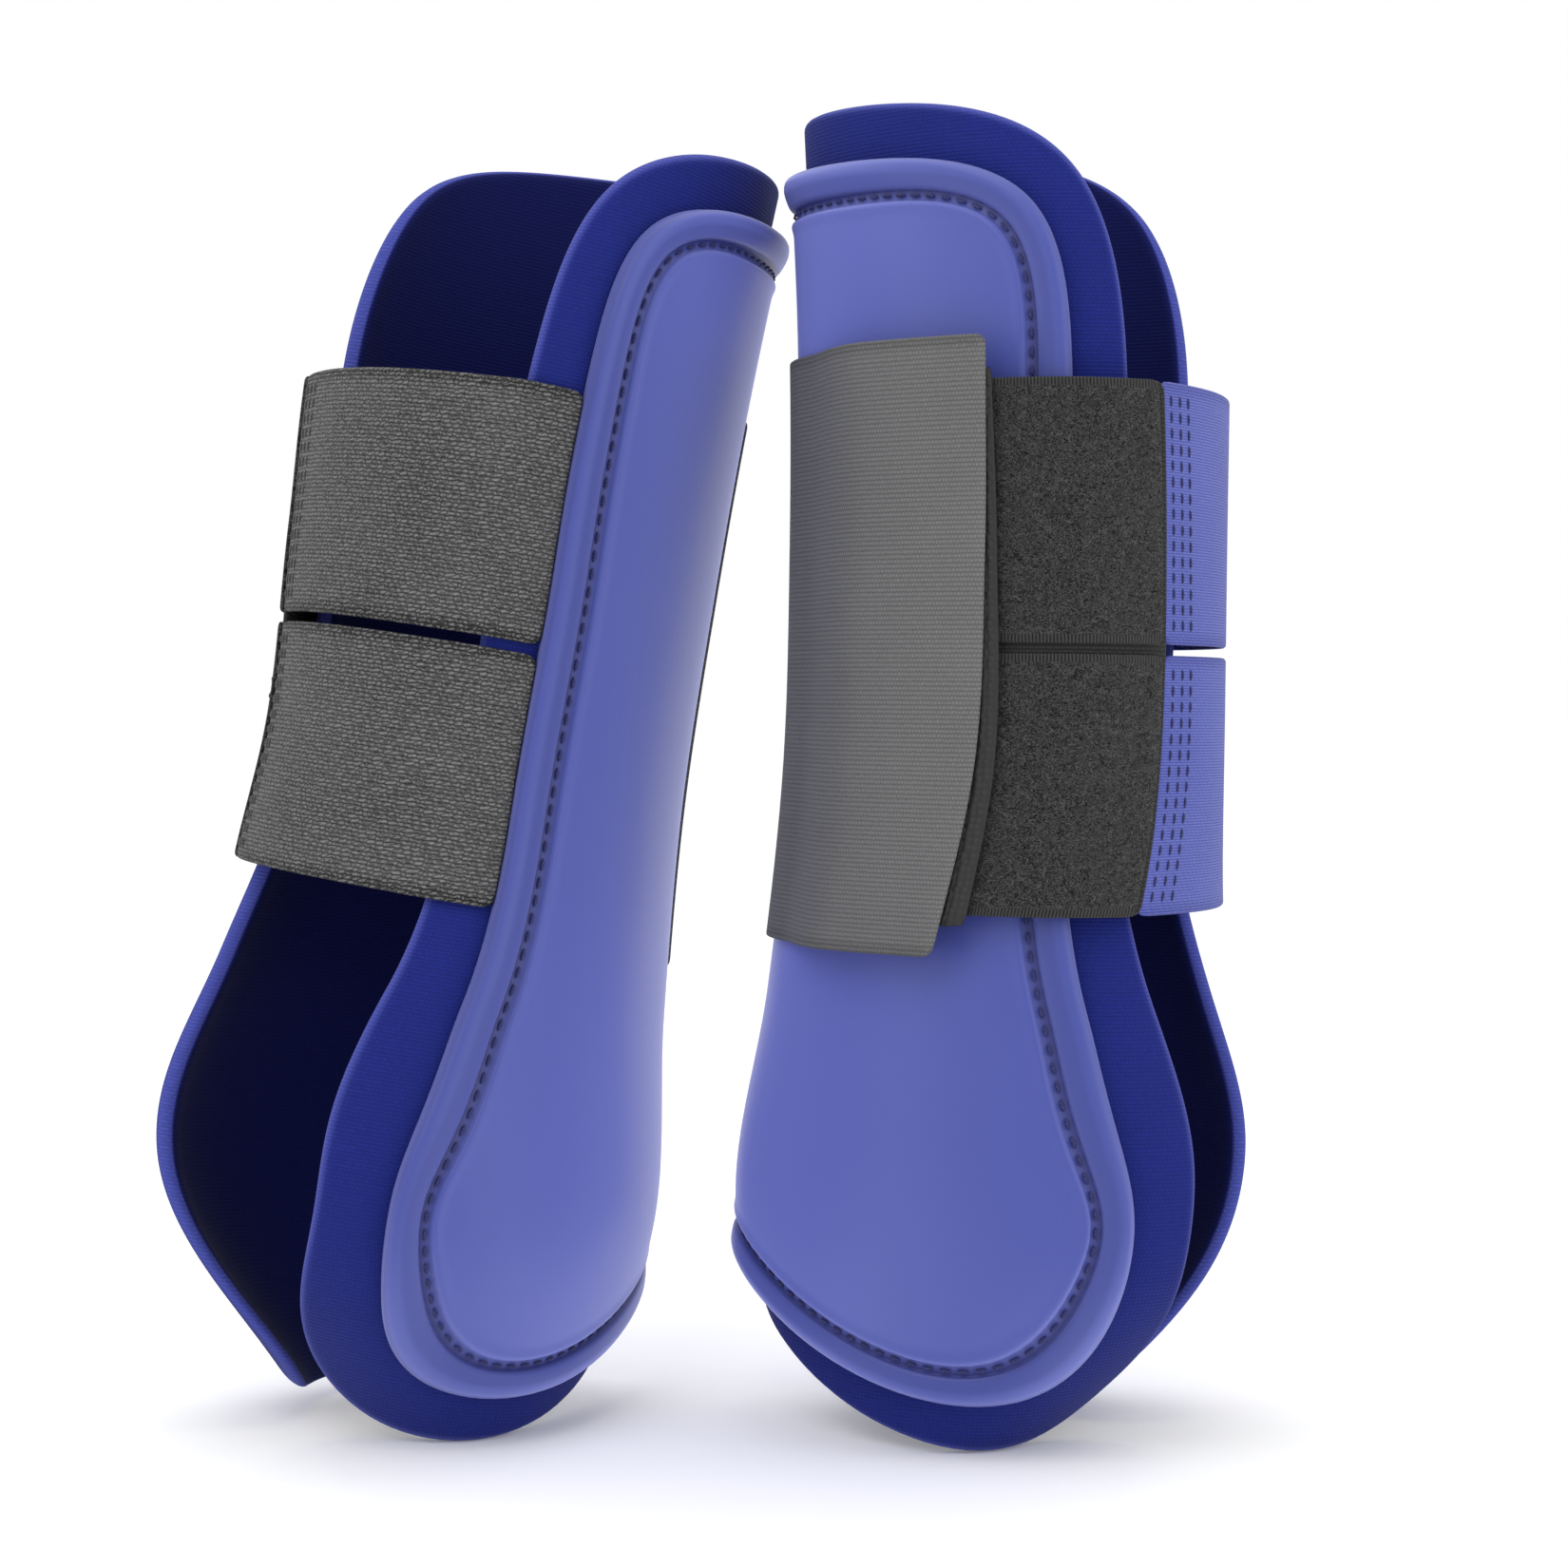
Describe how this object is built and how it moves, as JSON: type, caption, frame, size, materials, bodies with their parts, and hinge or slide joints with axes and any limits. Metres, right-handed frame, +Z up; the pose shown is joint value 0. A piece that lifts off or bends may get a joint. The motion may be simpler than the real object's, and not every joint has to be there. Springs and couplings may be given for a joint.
{
  "type": "pair of tendon boots",
  "caption": "Standing pair of tendon boots for a horse, each a moulded shell on a padded lining with two elastic straps, a hook and loop closure panel and a cover flap.",
  "frame": {"origin": "bottom centre of the pair, on the surface the boots stand on", "axes": "+Z up the leg; +X from the left boot towards the right boot; -Y is the side seen first, with the fronts turned outwards"},
  "size_m": [0.2281, 0.1133, 0.2675],
  "materials": {
    "shell_plastic": "smooth moulded blue shell, satin",
    "lining_neoprene": "knit-faced padded neoprene, dark blue",
    "elastic_grey": "ribbed woven elastic, grey",
    "elastic_blue": "ribbed woven elastic, blue",
    "webbing_grey": "woven nylon webbing, grey",
    "webbing_black": "woven nylon webbing, black",
    "loop_pile": "brushed loop pile, near black",
    "hook_tape": "moulded nylon hooks, black",
    "thread_navy": "twisted sewing thread, navy",
    "thread_grey": "twisted sewing thread, dark grey"
  },
  "bodies": {
    "left_boot": {"left_lining": "lining_neoprene", "left_shell": "shell_plastic", "left_edge_stitching": "thread_navy", "left_upper_strap_anchor": "elastic_grey", "left_lower_strap_anchor": "elastic_grey", "left_shell_loop_patch": "loop_pile", "left_cover_flap_anchor": "webbing_grey", "left_flap_anchor_stitching": "thread_grey"},
    "left_strap": {"left_upper_strap": "elastic_grey", "left_lower_strap": "elastic_grey", "left_closure_panel": "webbing_black", "left_upper_loop_tape": "loop_pile", "left_lower_loop_tape": "loop_pile", "left_panel_hook_tape": "hook_tape", "left_strap_seam_stitching": "thread_grey"},
    "left_flap": {"left_cover_flap": "webbing_grey", "left_flap_hook_tape": "hook_tape"},
    "right_boot": {"right_lining": "lining_neoprene", "right_shell": "shell_plastic", "right_edge_stitching": "thread_navy", "right_upper_strap_anchor": "elastic_blue", "right_lower_strap_anchor": "elastic_blue", "right_shell_loop_patch": "loop_pile", "right_cover_flap_anchor": "webbing_grey", "right_flap_anchor_stitching": "thread_grey"},
    "right_strap": {"right_upper_strap": "elastic_blue", "right_lower_strap": "elastic_blue", "right_closure_panel": "webbing_black", "right_upper_loop_tape": "loop_pile", "right_lower_loop_tape": "loop_pile", "right_panel_hook_tape": "hook_tape", "right_strap_seam_stitching": "thread_navy"},
    "right_flap": {"right_cover_flap": "webbing_grey", "right_flap_hook_tape": "hook_tape"}
  },
  "joints": [
    {"name": "left_flap_hinge", "type": "hinge", "parent": "left_boot", "child": "left_flap", "pos_m": [-0.00714, 0.04264, 0.15069], "axis": [-0.1435, -0.0226, -0.9894], "range_deg": [0, 140]},
    {"name": "left_strap_hinge", "type": "hinge", "parent": "left_boot", "child": "left_strap", "pos_m": [-0.03528, -0.0374, 0.15905], "axis": [0.1424, 0.0261, 0.9895], "range_deg": [0, 84]},
    {"name": "right_flap_hinge", "type": "hinge", "parent": "right_boot", "child": "right_flap", "pos_m": [0.01494, 0.00785, 0.15901], "axis": [-0.0419, 0.0097, -0.9991], "range_deg": [0, 50]},
    {"name": "right_strap_hinge", "type": "hinge", "parent": "right_boot", "child": "right_strap", "pos_m": [0.098, 0.02704, 0.15814], "axis": [0.0395, -0.0125, 0.9991], "range_deg": [0, 85]},
    {"name": "boots_apart", "type": "slide", "parent": "left_boot", "child": "right_boot", "axis": [1, 0, 0], "range_m": [0, 0.25]}
  ],
  "couplings": [
    {"joint": "left_strap_hinge", "follows": "left_flap_hinge", "ratio": 0.6},
    {"joint": "right_strap_hinge", "follows": "right_flap_hinge", "ratio": 1.7}
  ]
}
